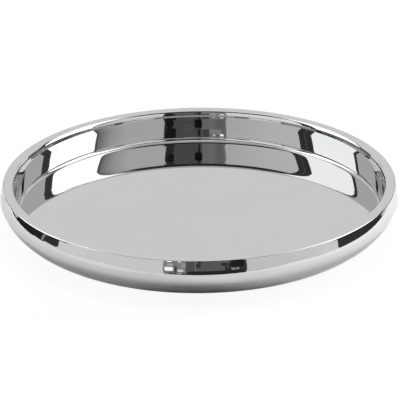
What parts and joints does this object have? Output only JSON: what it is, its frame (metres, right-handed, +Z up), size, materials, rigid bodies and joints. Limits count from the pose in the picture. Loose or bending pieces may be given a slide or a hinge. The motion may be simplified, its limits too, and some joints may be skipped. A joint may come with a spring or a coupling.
{
  "type": "round serving tray",
  "caption": "Round mirror-polished steel serving tray with a deep flat-floored well, flat rim, flared collar and a rounded hollow underbody on non-slip pads.",
  "frame": {"origin": "on the table surface, under the centre of the tray", "axes": "+Z up along the axis of the tray; X and Y lie on the table, with the pads on the diagonals between them"},
  "size_m": [0.38, 0.38, 0.0465],
  "materials": {
    "polished_steel": "polished",
    "satin_steel": "satin",
    "fibreboard": "matte",
    "silicone": "matte"
  },
  "bodies": {
    "root": {"tray_pan": "polished_steel", "lower_shell": "polished_steel", "base_plate": "satin_steel", "core_board": "fibreboard", "foot_pad_1": "silicone", "foot_pad_2": "silicone", "foot_pad_3": "silicone", "foot_pad_4": "silicone"}
  },
  "joints": []
}
